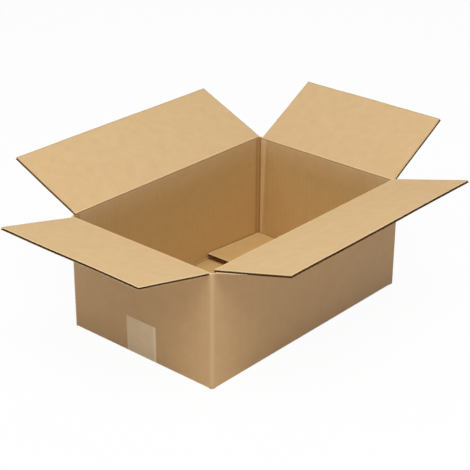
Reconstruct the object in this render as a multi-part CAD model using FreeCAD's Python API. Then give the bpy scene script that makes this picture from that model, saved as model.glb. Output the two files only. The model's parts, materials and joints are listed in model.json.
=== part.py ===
import FreeCAD, Part
import math
import os
from collections import namedtuple

os.makedirs("parts", exist_ok=True)

# An open shipping carton of corrugated board: four walls, four bottom flaps held shut by a strip
# of tape, and four top flaps that stand open and turn about their creases.
# The origin is the middle of the footprint on the floor. +X runs along the long walls,
# +Y to the back, +Z up. Sizes are in millimetres and degrees.

# The carton as folded
length = 355.0              # outside, along the long walls
width = 230.0               # outside, along the short walls
rim_height = 150.0          # floor to the creases of the long walls' flaps
corner_fold_radius = 4.0    # outside of the upright folds
inner_fold_radius = 1.0     # inside of the upright folds
slot_depth = 1.0            # the corners stop this far below the long walls' creases

# The board
board = 3.0                 # thickness over both liners
liner = 0.4
medium = 0.3                # the wavy paper between the liners
flute_pitch = 7.5           # from one crest of the wave to the next
flute_crest = 1.3           # width over which a crest is glued to its liner
flute_valley = 0.8          # width of the narrow side of each hollow
crushed_width = 6.0         # board flattened by scoring, from a crease outwards

# The top flaps
long_flap = 111.0           # crease to free edge, flaps on the long walls
short_flap = 112.5          # crease to free edge, flaps on the short walls
long_flap_inset = 3.5       # side edge of a long flap, in from the short wall's inner face
short_flap_inset = 1.8      # side edge of a short flap, in from the long wall's inner face
closing_clearance = 0.2     # between the closed short flaps and the long flaps over them
front_flap_angle = 15.4     # rest angles, above the horizontal
back_flap_angle = 23.5
left_flap_angle = 12.8
right_flap_angle = 29.3

# The creases of the top flaps
crease_inset = 0.5          # turning line, in from the outer face
crease_gap = 0.15           # board on each side stops this far from the turning line
relief_angle = 15.0         # slope of the outer faces towards the turning line

# The bottom
bottom_fold_radius = 2.5
bottom_slot_depth = 0.8     # the corners stop this far above the underside of the board
bottom_seam = 2.0           # between the free edges of the long bottom flaps
bead_width = 1.7            # board squeezed up inside the long bottom folds
bead_height = 2.6
ply_gap = 0.3               # between the long bottom flaps and the short ones over them
bottom_short_flap = 114.5   # wall's outer face to free edge
bottom_flap_rise = 3.5      # the loose short flaps spring up by this angle

# The glued tab that closes the sheet into a tube, inside the front wall at the right-hand end
tab_width = 32.0
tab_bevel = 9.0             # slope at the tab's top and bottom, measured upwards
tab_below_rim = 9.0
tab_above_floor = 16.0

# The tape along the bottom seam, turned up both short walls
tape_width = 48.0
tape_leg = 49.0             # floor to the tape's top edge
tape_film = 0.1
tape_shift = -2.0           # the strip lies this far off the middle, towards the back if positive

# Values worked out from the sizes above
half_length = length / 2
half_width = width / 2
underside = tape_film                                     # the board stands on the tape
inner_depth = board - crease_inset                        # turning line to inner face
relief_length = crease_inset / math.tan(math.radians(relief_angle))
short_rim_height = rim_height - board - closing_clearance
long_flap_half = half_length - board - long_flap_inset    # half the span between two slots
short_flap_half = half_width - board - short_flap_inset
fold_top = underside + 2 * board + bead_height            # the foot of each wall ends here
proud = 1.0                                               # how far cutting shapes stand out

# Each wall: which way it faces as a turn from +X, how far out its face is, half the span between
# its slots, the height of its crease, and its top flap's length and rest angle
Wall = namedtuple("Wall", "name facing distance half_span crease flap_length flap_angle")
FRONT = Wall("front", 270, half_width, long_flap_half, rim_height, long_flap, front_flap_angle)
BACK = Wall("back", 90, half_width, long_flap_half, rim_height, long_flap, back_flap_angle)
LEFT = Wall("left", 180, half_length, short_flap_half, short_rim_height, short_flap, left_flap_angle)
RIGHT = Wall("right", 0, half_length, short_flap_half, short_rim_height, short_flap, right_flap_angle)


def vector(x, y, z):
    return FreeCAD.Vector(x, y, z)


def at_wall(shape, facing, distance, z=0.0, tilt=0.0):
    """A copy of a shape drawn with X out of a wall, Y along it and Z up, moved to that wall."""
    turn = FreeCAD.Rotation(vector(0, 0, 1), facing)
    raised = FreeCAD.Rotation(vector(0, 1, 0), -tilt)
    moved = shape.copy()
    moved.Placement = FreeCAD.Placement(turn.multVec(vector(distance, 0, z)), turn.multiply(raised))
    return moved


def prism(section, half_span):
    """A section of X, Z points drawn out along Y to both sides."""
    corners = [vector(x, -half_span, z) for x, z in section]
    face = Part.Face(Part.makePolygon(corners + corners[:1]))
    return face.extrude(vector(0, 2 * half_span, 0))


def arc_edge(centre_x, centre_z, radius, start, end, y):
    """An arc in the X-Z plane at Y = y, between two angles given in degrees."""
    points = []
    for angle in (start, (start + end) / 2, end):
        turn = math.radians(angle)
        points.append(vector(centre_x + radius * math.cos(turn), y, centre_z + radius * math.sin(turn)))
    return Part.Arc(*points).toShape()


def line_edges(points, y):
    """Straight edges through X, Z points at Y = y."""
    ends = [vector(x, y, z) for x, z in points]
    return [Part.LineSegment(a, b).toShape() for a, b in zip(ends, ends[1:])]


def flute_hollow(y, upper):
    """One hollow between the medium and a liner, as a four-sided face across the board."""
    wide = (flute_pitch - flute_crest) / 2
    narrow = flute_valley / 2
    if upper:
        wide_z, narrow_z = board - liner, liner + medium
    else:
        wide_z, narrow_z = liner, board - liner - medium
    corners = [
        vector(0, y - wide, wide_z),
        vector(0, y + wide, wide_z),
        vector(0, y + narrow, narrow_z),
        vector(0, y - narrow, narrow_z),
    ]
    return Part.Face(Part.makePolygon(corners + corners[:1]))


def fluted_board(start, end, half_span):
    """Board from X = start to end with its flutes along X, outer face at Z = 0."""
    corners = [
        vector(0, -half_span, 0),
        vector(0, half_span, 0),
        vector(0, half_span, board),
        vector(0, -half_span, board),
    ]
    section = Part.Face(Part.makePolygon(corners + corners[:1]))
    crests = math.ceil(half_span / flute_pitch)
    hollows = []
    for i in range(-crests, crests + 1):
        hollows.append(flute_hollow(i * flute_pitch, True))
        hollows.append(flute_hollow((i + 0.5) * flute_pitch, False))
    section = section.cut(Part.makeCompound(hollows)).Faces[0]
    section.translate(vector(start, 0, 0))
    return section.extrude(vector(end - start, 0, 0))


def top_flap(reach, half_span):
    """A flap lying along X with its turning line on the Y axis and its inner face up."""
    root = prism(
        [
            (crease_gap, 0),
            (crease_gap + relief_length, -crease_inset),
            (crushed_width, -crease_inset),
            (crushed_width, inner_depth),
            (crease_gap + inner_depth, inner_depth),
        ],
        half_span,
    )
    sheet = fluted_board(crushed_width, reach, half_span)
    sheet.translate(vector(0, 0, -crease_inset))
    return root.fuse(sheet).removeSplitter()


def wall_outline():
    """The walls' section seen from above: three folds, and a lap where the sheet's ends are glued.

    At the front right corner the front wall ends in a cut edge, and the right wall turns in
    behind it.
    """
    x, y, r = half_length, half_width, corner_fold_radius
    lap = board - y
    edges = []
    last = None
    for i, (cx, cy) in enumerate([(x - r, lap + r), (x - r, y - r), (r - x, y - r), (r - x, r - y)]):
        bend = []
        for turn in (90 * i - 90, 90 * i - 45, 90 * i):
            angle = math.radians(turn)
            bend.append(vector(cx + r * math.cos(angle), cy + r * math.sin(angle), 0))
        if last:
            edges.append(Part.LineSegment(last, bend[0]).toShape())
        edges.append(Part.Arc(*bend).toShape())
        last = bend[2]
    cut_end = [last, vector(x, -y, 0), vector(x, lap, 0), vector(x - r, lap, 0)]
    edges += [Part.LineSegment(a, b).toShape() for a, b in zip(cut_end, cut_end[1:])]
    return Part.Wire(edges)


def walls():
    """The four walls, from the bottom slots at the corners to the long walls' creases."""
    low = underside + bottom_slot_depth
    outline = Part.Face(wall_outline())
    outline.translate(vector(0, 0, low))
    tube = outline.extrude(vector(0, 0, rim_height - low))
    room = Part.makeBox(
        length - 2 * board,
        width - 2 * board,
        rim_height,
        vector(board - half_length, board - half_width, 0),
    )
    uprights = [e for e in room.Edges if abs(e.Vertexes[0].Z - e.Vertexes[1].Z) > board]
    return tube.cut(room.makeFillet(inner_fold_radius, uprights))


def rim_waste(wall):
    """What is cut from a wall's top so that its flap can turn, with the turning line at X = 0."""
    apex = wall.crease - crease_gap
    outside = crease_inset + proud
    inside = -inner_depth - proud
    top = rim_height + proud
    section = [
        (outside, top),
        (outside, apex - relief_length),
        (crease_inset, apex - relief_length),
        (0, apex),
        (-inner_depth, apex - inner_depth),
        (inside, apex - inner_depth),
        (inside, top),
    ]
    return at_wall(prism(section, wall.half_span), wall.facing, wall.distance - crease_inset)


def foot_waste(wall):
    """The plain foot of a wall between its slots, which the fold takes the place of."""
    block = Part.makeBox(
        board + 2 * proud,
        2 * wall.half_span,
        fold_top + proud,
        vector(-board - proud, -wall.half_span, -proud),
    )
    return at_wall(block, wall.facing, wall.distance)


def corner_waste():
    """What the slots take from the tops of the four corners."""
    size_x = half_length + proud - long_flap_half
    size_y = half_width + proud - short_flap_half
    blocks = []
    for x in (-half_length - proud, long_flap_half):
        for y in (-half_width - proud, short_flap_half):
            low = vector(x, y, rim_height - slot_depth)
            blocks.append(Part.makeBox(size_x, size_y, slot_depth + proud, low))
    return blocks


def long_bottom_fold():
    """A long wall's foot and its bottom flap, with the wall's outer face at X = 0."""
    r = bottom_fold_radius
    y = -long_flap_half
    free = -half_width + bottom_seam / 2
    top = underside + board
    edges = line_edges([(0, fold_top), (0, underside + r)], y)
    edges.append(arc_edge(-r, underside + r, r, 0, -90, y))
    edges += line_edges(
        [
            (-r, underside),
            (free, underside),
            (free, top),
            (-board - bead_width, top),
            (-board, top + bead_height),
            (-board, fold_top),
            (0, fold_top),
        ],
        y,
    )
    return Part.Face(Part.Wire(edges)).extrude(vector(0, 2 * long_flap_half, 0))


def short_bottom_fold():
    """A short wall's foot and its flap, which climbs over the ends of the long flaps."""
    r = bottom_fold_radius
    y = -short_flap_half
    rise = math.radians(bottom_flap_rise)
    along = (-math.cos(rise), math.sin(rise))
    normal = (math.sin(rise), math.cos(rise))
    step = (-board - long_flap_inset, underside + board + ply_gap)
    crushed = (step[0] + crushed_width * along[0], step[1] + crushed_width * along[1])
    edges = line_edges([(0, fold_top), (0, underside + r)], y)
    edges.append(arc_edge(-r, underside + r, r, 0, -90, y))
    edges += line_edges(
        [
            (-r, underside),
            step,
            crushed,
            (crushed[0] + board * normal[0], crushed[1] + board * normal[1]),
            (step[0] + board * normal[0], step[1] + board * normal[1]),
            (-board, underside + board),
            (-board, fold_top),
            (0, fold_top),
        ],
        y,
    )
    foot = Part.Face(Part.Wire(edges)).extrude(vector(0, 2 * short_flap_half, 0))
    flap_length = (bottom_short_flap + crushed[0]) / math.cos(rise)
    flap = fluted_board(0, flap_length, short_flap_half)
    turn = FreeCAD.Rotation(vector(0, 0, 1), 180).multiply(
        FreeCAD.Rotation(vector(0, 1, 0), -bottom_flap_rise)
    )
    flap.Placement = FreeCAD.Placement(vector(crushed[0], 0, crushed[1]), turn)
    return foot.fuse(flap).removeSplitter()


def glue_tab():
    """The tab inside the front wall, a ply of board with slanting ends."""
    root_x = half_length - board
    tip_x = root_x - tab_width
    low = tab_above_floor
    high = short_rim_height - tab_below_rim
    outline = [
        (root_x, low),
        (root_x, high),
        (tip_x, high - tab_bevel),
        (tip_x, low + tab_bevel),
    ]
    corners = [vector(x, board - half_width, z) for x, z in outline]
    return Part.Face(Part.makePolygon(corners + corners[:1])).extrude(vector(0, board, 0))


def box_body():
    """The folded sheet: walls, bottom flaps and glued tab in one piece."""
    waste = corner_waste()
    for wall in (FRONT, BACK, LEFT, RIGHT):
        waste += [rim_waste(wall), foot_waste(wall)]
    long_fold = long_bottom_fold()
    short_fold = short_bottom_fold()
    added = [glue_tab()]
    added += [at_wall(long_fold, wall.facing, wall.distance) for wall in (FRONT, BACK)]
    added += [at_wall(short_fold, wall.facing, wall.distance) for wall in (LEFT, RIGHT)]
    return walls().cut(waste).fuse(added).removeSplitter()


def bottom_tape():
    """One strip of film under the seam, turned up the short walls to the same height."""
    r = bottom_fold_radius
    bend = half_length - r
    low = underside + r
    inside = half_length
    outside = half_length + tape_film
    start = tape_shift - tape_width / 2
    edges = line_edges([(-outside, low), (-outside, tape_leg), (-inside, tape_leg), (-inside, low)], start)
    edges.append(arc_edge(-bend, low, r, 180, 270, start))
    edges += line_edges([(-bend, underside), (bend, underside)], start)
    edges.append(arc_edge(bend, low, r, 270, 360, start))
    edges += line_edges([(inside, low), (inside, tape_leg), (outside, tape_leg), (outside, low)], start)
    edges.append(arc_edge(bend, low, r + tape_film, 360, 270, start))
    edges += line_edges([(bend, 0), (-bend, 0)], start)
    edges.append(arc_edge(-bend, low, r + tape_film, 270, 180, start))
    return Part.Face(Part.Wire(edges)).extrude(vector(0, tape_width, 0))


def main():
    parts = {"box_body": box_body(), "bottom_tape": bottom_tape()}
    for pair in ((FRONT, BACK), (LEFT, RIGHT)):
        flap = top_flap(pair[0].flap_length, pair[0].half_span)
        for wall in pair:
            reach = wall.distance - crease_inset
            parts[wall.name + "_flap"] = at_wall(flap, wall.facing, reach, wall.crease, wall.flap_angle)
    for name, shape in parts.items():
        state = "valid" if shape.isValid() else "not valid"
        print(name, len(shape.Solids), "solid,", round(shape.Volume), "mm3,", state)
        shape.exportStep("parts/" + name + ".step")


main()
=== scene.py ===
import json
import logging
import math
from dataclasses import dataclass
from enum import Enum

import bpy
import numpy as np
from mathutils import Matrix, Vector


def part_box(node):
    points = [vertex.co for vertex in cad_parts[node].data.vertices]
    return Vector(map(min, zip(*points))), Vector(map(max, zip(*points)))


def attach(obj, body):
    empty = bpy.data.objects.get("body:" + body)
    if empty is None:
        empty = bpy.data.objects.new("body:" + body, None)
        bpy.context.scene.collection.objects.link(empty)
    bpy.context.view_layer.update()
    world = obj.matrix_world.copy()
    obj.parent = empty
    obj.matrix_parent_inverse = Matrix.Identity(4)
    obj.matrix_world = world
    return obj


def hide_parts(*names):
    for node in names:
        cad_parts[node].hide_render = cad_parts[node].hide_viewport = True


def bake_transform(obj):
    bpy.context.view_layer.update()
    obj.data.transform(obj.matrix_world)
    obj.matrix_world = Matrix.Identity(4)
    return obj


# The looks of an open carton of corrugated board. Every piece is a sheet of paper or board between
# two grids of points, one for each face, and its place comes from the fixed model's boxes and joints.

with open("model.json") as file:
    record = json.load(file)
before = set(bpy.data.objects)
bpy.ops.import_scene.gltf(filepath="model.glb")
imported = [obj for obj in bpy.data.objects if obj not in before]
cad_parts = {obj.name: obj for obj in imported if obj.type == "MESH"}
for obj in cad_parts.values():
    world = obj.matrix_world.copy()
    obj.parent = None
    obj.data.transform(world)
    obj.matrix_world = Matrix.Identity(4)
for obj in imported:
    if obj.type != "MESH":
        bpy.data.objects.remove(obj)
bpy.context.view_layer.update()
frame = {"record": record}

LOG = logging.getLogger("carton")
MM = 0.001
IMAGE_PIXELS = 470.0
Pair = tuple[float, float] | np.ndarray


class Paper(Enum):
    """What a face of the board shows, by its place in the list of materials."""

    OUTER = 0
    INNER = 1
    MEDIUM = 2
    CUT = 3
    FLUTE_END = 4


# Small functions for shapes


def smooth(t: np.ndarray) -> np.ndarray:
    """Goes from 0 to 1 with level ends, as 3 t squared less 2 t cubed, clamped outside."""
    t = np.clip(t, 0.0, 1.0)
    return t * t * (3.0 - 2.0 * t)


def waver(along: np.ndarray, seed: float) -> np.ndarray:
    """A slow uneven wave of about one unit, the sum of three sines of 97, 41 and 19 mm."""
    first = np.sin(2.0 * np.pi * along / (97.0 * MM) + seed)
    second = np.sin(2.0 * np.pi * along / (41.0 * MM) + 2.3 * seed + 1.0)
    third = np.sin(2.0 * np.pi * along / (19.0 * MM) + 4.1 * seed + 2.0)
    return 0.5 * first + 0.3 * second + 0.2 * third


def arc(centre: Pair, radius: float, start: float, end: float, count: int) -> np.ndarray:
    """Points on a circle.

    Args:
        centre: the circle's middle.
        radius: its radius in metres.
        start: first angle in degrees.
        end: last angle in degrees.
        count: how many points.

    Returns:
        An array of count rows: centre plus radius times the cosine and sine of the angle.
    """
    turn = np.radians(np.linspace(start, end, count))
    return np.stack([centre[0] + radius * np.cos(turn), centre[1] + radius * np.sin(turn)], -1)


def line(start: Pair, end: Pair, count: int) -> np.ndarray:
    """Evenly spaced points from start to end, both of them included."""
    return np.linspace(start, end, count)


def bend(start: Pair, corner: Pair, end: Pair, count: int) -> np.ndarray:
    """A quadratic curve that leaves start towards corner and reaches end from there.

    Args:
        start: first point.
        corner: point that pulls the curve.
        end: last point.
        count: how many points.

    Returns:
        Points (1-t)^2 start + 2t(1-t) corner + t^2 end, for t from 0 to 1.
    """
    t = np.linspace(0.0, 1.0, count)[:, None]
    return (1.0 - t) ** 2 * start + 2.0 * t * (1.0 - t) * corner + t**2 * end


def chain(*runs: np.ndarray) -> np.ndarray:
    """Joins runs of points into one path, and drops each point that repeats the one before."""
    return np.concatenate([runs[0]] + [run[1:] for run in runs[1:]])


def run_along(path: np.ndarray) -> np.ndarray:
    """How far each point of a path lies along it, one row for each point."""
    steps = np.linalg.norm(np.diff(path, axis=0), axis=1)
    return np.concatenate([[0.0], np.cumsum(steps)])[:, None]


def grid(*parts: float | np.ndarray) -> np.ndarray:
    """Spreads coordinates, each given by rows, by columns or as one number, over a grid of points."""
    return np.stack(np.broadcast_arrays(*parts), -1)


def painted_rim_highlight(to_edge: np.ndarray, full: float = 0.8 * MM, fade: float = 1.5 * MM) -> np.ndarray:
    """How far a painted highlight makes the paper pale beside a cut edge: in full, and then fading out."""
    return 1.0 - smooth((to_edge - full) / fade)


@dataclass
class Sheet:
    """A closed sheet between two grids of points of the same size.

    Args:
        front: points of one face, rows by columns by 3.
        back: points of the other face.
        flat: rows by columns by 2, each point's place on the flat board: across the flutes and along them.
        papers: what the front, the back and the cut border show.
        painted_highlight: how far each point is painted pale as a highlight, from 0 to 1: rows by columns for
            both faces, or 2 by rows by columns for the front and the back.
        painted_shade: how far each point is painted dark as shade, in a pressed line, a channel, a corner or
            a seam, from 0 to 1, in the same form.
    """

    front: np.ndarray
    back: np.ndarray
    flat: np.ndarray
    papers: tuple[Paper, Paper, Paper]
    painted_highlight: np.ndarray | None = None
    painted_shade: np.ndarray | None = None

    def points(self) -> np.ndarray:
        """Both faces' points in one list."""
        return np.concatenate([self.front.reshape(-1, 3), self.back.reshape(-1, 3)])

    def faces(self) -> tuple[np.ndarray, np.ndarray]:
        """The quads of both faces and of the border that closes them.

        Returns:
            The faces' corners, pointing outwards, and each face's paper.
        """
        rows, columns = self.front.shape[:2]
        index = np.arange(rows * columns).reshape(rows, columns)
        grid = np.stack([index[:-1, :-1], index[1:, :-1], index[1:, 1:], index[:-1, 1:]], -1).reshape(-1, 4)
        rim = np.concatenate([index[:-1, 0], index[-1, :-1], index[:0:-1, -1], index[0, :0:-1]])
        after = np.roll(rim, -1)
        shift = rows * columns
        border = np.stack([after, rim, rim + shift, after + shift], -1)
        faces = np.concatenate([grid, grid[:, ::-1] + shift, border])
        along_rows = self.front[1:, :-1] - self.front[:-1, :-1]
        along_columns = self.front[:-1, 1:] - self.front[:-1, :-1]
        facing = np.sum(np.cross(along_rows, along_columns) * (self.front - self.back)[:-1, :-1])
        if facing < 0.0:
            faces = faces[:, ::-1]
        counts = (len(grid), len(grid), len(border))
        papers = np.repeat([paper.value for paper in self.papers], counts)
        return faces, papers


def add_object(name: str, data: bpy.types.ID) -> bpy.types.Object:
    """Puts a mesh, a lamp or a camera into the scene as a new object."""
    added = bpy.data.objects.new(name, data)
    bpy.context.scene.collection.objects.link(added)
    return added


def make_piece(name: str, sheets: list[Sheet], materials: list[bpy.types.Material]) -> bpy.types.Object:
    """Puts closed sheets into one mesh.

    Args:
        name: the piece's name.
        sheets: the sheets of the piece.
        materials: one material for each kind of paper, in the order of Paper.

    Returns:
        The new object, at the origin, with its place in its mesh.
    """
    points, faces, papers, flats, painted_highlights, painted_shades = [], [], [], [], [], []
    count = 0
    for sheet in sheets:
        sheet_points = sheet.points()
        sheet_faces, sheet_papers = sheet.faces()
        both = (2, *sheet.front.shape[:2])
        painted_highlight = np.broadcast_to(0.0 if sheet.painted_highlight is None else sheet.painted_highlight, both)
        painted_shade = np.broadcast_to(0.0 if sheet.painted_shade is None else sheet.painted_shade, both)
        points.append(sheet_points)
        faces.append(sheet_faces + count)
        papers.append(sheet_papers)
        flats.append(np.tile(sheet.flat.reshape(-1, 2), (2, 1)))
        painted_highlights.append(painted_highlight.ravel())
        painted_shades.append(painted_shade.ravel())
        count += len(sheet_points)
    mesh = bpy.data.meshes.new(name)
    mesh.from_pydata(np.concatenate(points).tolist(), [], np.concatenate(faces).tolist())
    for material in materials:
        mesh.materials.append(material)
    mesh.polygons.foreach_set("material_index", np.concatenate(papers).astype(np.int32))
    mesh.polygons.foreach_set("use_smooth", np.ones(len(mesh.polygons), bool))
    corners = np.zeros(len(mesh.loops), np.int32)
    mesh.loops.foreach_get("vertex_index", corners)
    flat_map = mesh.uv_layers.new(name="flat_board")
    flat_map.data.foreach_set("uv", np.concatenate(flats)[corners].astype(np.float32).ravel())
    for label, values in (("painted_highlight", painted_highlights), ("painted_shade", painted_shades)):
        painted_light_tone = mesh.attributes.new(label, "FLOAT", "POINT")
        painted_light_tone.data.foreach_set("value", np.concatenate(values).astype(np.float32))
    mesh.set_sharp_from_angle(angle=math.radians(35.0))
    mesh.update()
    return add_object(name, mesh)


# The board and the carton's sizes


@dataclass(frozen=True)
class Board:
    """Single-wall corrugated board: two liners glued to a wavy medium."""

    thickness: float = 3.0 * MM
    liner: float = 0.4 * MM
    medium: float = 0.45 * MM
    pitch: float = 7.5 * MM
    washboard: float = 0.035 * MM
    fade: float = 8.0 * MM

    def ripple(self, across: np.ndarray, inner: bool) -> np.ndarray:
        """How far a liner sinks where the medium is glued to its other side.

        The depth follows a cosine of the distance across the flutes, and the inner liner is half a
        wave behind the outer one.
        """
        phase = np.pi if inner else 0.0
        return 0.5 * self.washboard * (1.0 + np.cos(2.0 * np.pi * across / self.pitch + phase))

    def columns(self, half_span: float, per_flute: int) -> np.ndarray:
        """Places across the flutes from edge to edge, several to each flute."""
        count = int(round(2.0 * half_span / self.pitch * per_flute)) + 1
        return np.linspace(-half_span, half_span, count)

    def wave(self, across: np.ndarray) -> tuple[np.ndarray, np.ndarray, np.ndarray]:
        """The wavy medium, a cosine across the flutes.

        Args:
            across: places across the flutes.

        Returns:
            Its middle's height over the board's outer face, and the way from there to its upper face,
            across and up: half its thickness along its own normal.
        """
        rise = 0.5 * (self.thickness - 2.0 * self.liner - self.medium)
        turn = 2.0 * np.pi * across / self.pitch
        slope = -rise * 2.0 * np.pi / self.pitch * np.sin(turn)
        half = 0.5 * self.medium / np.sqrt(1.0 + slope**2)
        return 0.5 * self.thickness + rise * np.cos(turn), -slope * half, half


@dataclass(frozen=True)
class Side:
    """One wall of the carton and the flap on it.

    Args:
        name: front, back, left or right.
        facing: the way it faces, as a turn in degrees from +X.
        distance: its outer face from the middle of the carton.
        half_span: half the board between its two slots.
        crease: height of its top flap's turning line.
        reach: its top flap, from the turning line to the free edge.
        angle: the flap's rest angle above the horizontal, in degrees.
    """

    name: str
    facing: float
    distance: float
    half_span: float
    crease: float
    reach: float
    angle: float

    @property
    def is_long(self) -> bool:
        """Whether this is one of the two long walls."""
        return self.name in ("front", "back")

    def world(self, out: np.ndarray, across: np.ndarray, up: np.ndarray) -> np.ndarray:
        """Points given out of the wall, along it and up, turned to the wall's own side."""
        turn = math.radians(self.facing)
        x = out * math.cos(turn) - across * math.sin(turn)
        y = out * math.sin(turn) + across * math.cos(turn)
        return grid(x, y, up)

    def on_flap(self, along: np.ndarray, height: np.ndarray, inset: float) -> tuple[np.ndarray, np.ndarray]:
        """Turns a place on the flap to out and up.

        Args:
            along: distance from the turning line towards the free edge.
            height: distance above the turning line's plane, towards the inner face.
            inset: the turning line's distance in from the wall's outer face.

        Returns:
            Distance out from the middle of the carton, and height above the floor.
        """
        tilt = math.radians(self.angle)
        out = self.distance - inset + along * math.cos(tilt) - height * math.sin(tilt)
        up = self.crease + along * math.sin(tilt) + height * math.cos(tilt)
        return out, up


@dataclass(frozen=True)
class Carton:
    """The carton's sizes, read from the fixed model."""

    board: Board
    sides: dict[str, Side]
    half_length: float
    half_width: float
    underside: float
    crease_inset: float
    corner_radius: float = 4.0 * MM
    bottom_radius: float = 2.5 * MM
    crushed: float = 6.0 * MM
    score_start: float = 3.5 * MM
    score_reach: float = 12.0 * MM
    score_depth: float = 0.5 * MM
    # widths of the painted highlight band beside the short walls' upright folds, at the floor and at the
    # crease
    lip_low: float = 3.0 * MM
    lip_high: float = 9.0 * MM
    bow: float = 0.5 * MM
    bow_fade: float = 50.0 * MM
    calm_start: float = 4.0 * MM
    channel_shade: float = 0.35
    corner_shade: float = 0.4
    lip_fade: float = 1.2 * MM

    def calm(self, side: Side, height: np.ndarray) -> np.ndarray:
        """Goes from 0 at a wall's bottom fold and at its top crease to 1 between them."""
        low = self.underside + self.bottom_radius + self.calm_start
        top = side.crease - self.crushed
        return smooth((height - low) / self.board.fade) * smooth((top - height) / self.board.fade)

    def upright_score(self, side: Side, across: np.ndarray) -> tuple[np.ndarray, np.ndarray]:
        """The channel that scoring leaves inside a wall beside each upright fold.

        Args:
            side: the wall.
            across: places along it.

        Returns:
            The channel's depth, a raised cosine across it, and the shade from it to the fold. Only the
            long walls' channels face away from the open side, so only they are shaded.
        """
        room = (self.half_length if side.is_long else self.half_width) - self.board.thickness
        share = (room - np.abs(across) - self.score_start) / (self.score_reach - self.score_start)
        bell = 0.5 * (1.0 - np.cos(2.0 * np.pi * np.clip(share, 0.0, 1.0)))
        shade = self.channel_shade * bell + self.corner_shade * smooth((1.0 - share) / 0.5)
        return self.score_depth * bell, shade * side.is_long

    def lit_lip(self, side: Side, across: np.ndarray, height: np.ndarray) -> np.ndarray:
        """A painted highlight: the lit side of an upright score on a short wall, a band that narrows towards
        the floor.
        """
        width = self.lip_low + (self.lip_high - self.lip_low) * height / side.crease
        to_corner = self.half_width - self.board.thickness - np.abs(across)
        return (1.0 - smooth((to_corner - width) / self.lip_fade)) * (not side.is_long)

    def bulge(self, side: Side, across: np.ndarray, height: np.ndarray) -> np.ndarray:
        """How far a wall stands out from its plane: a half wave across it that fades at the folds."""
        low = self.underside + self.bottom_radius
        top = side.crease - self.crushed
        rise = smooth((height - low) / self.bow_fade) * smooth((top - height) / self.bow_fade)
        return self.bow * rise * np.cos(0.5 * np.pi * across / side.half_span)

    @classmethod
    def from_frame(cls, record: dict) -> "Carton":
        """Works the sizes out from the boxes of the nodes and the places of the joints.

        Args:
            record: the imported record.

        Returns:
            The carton's sizes.
        """
        low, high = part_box("box_body")
        joints = {joint["name"]: joint for joint in record["behaviour"]["joints"]}
        axes = {"front": (1, -1, 270.0), "back": (1, 1, 90.0), "left": (0, -1, 180.0), "right": (0, 1, 0.0)}
        distance = {0: high.x, 1: high.y}
        sides = {}
        inset = 0.0
        for name, (axis, sign, facing) in axes.items():
            joint = joints[name + "_flap_crease"]
            flap_low, flap_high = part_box(name + "_flap")
            inset = distance[axis] - abs(joint["pos_m"][axis])
            angle = 180.0 - joint["range_deg"][1]
            tilt = math.radians(angle)
            outermost = flap_high[axis] if sign > 0 else -flap_low[axis]
            from_line = outermost - abs(joint["pos_m"][axis])
            sides[name] = Side(
                name=name,
                facing=facing,
                distance=distance[axis],
                half_span=flap_high[1 - axis],
                crease=joint["pos_m"][2],
                reach=(from_line - inset * math.sin(tilt)) / math.cos(tilt),
                angle=angle,
            )
        return cls(Board(), sides, high.x, high.y, low.z, inset)


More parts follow.
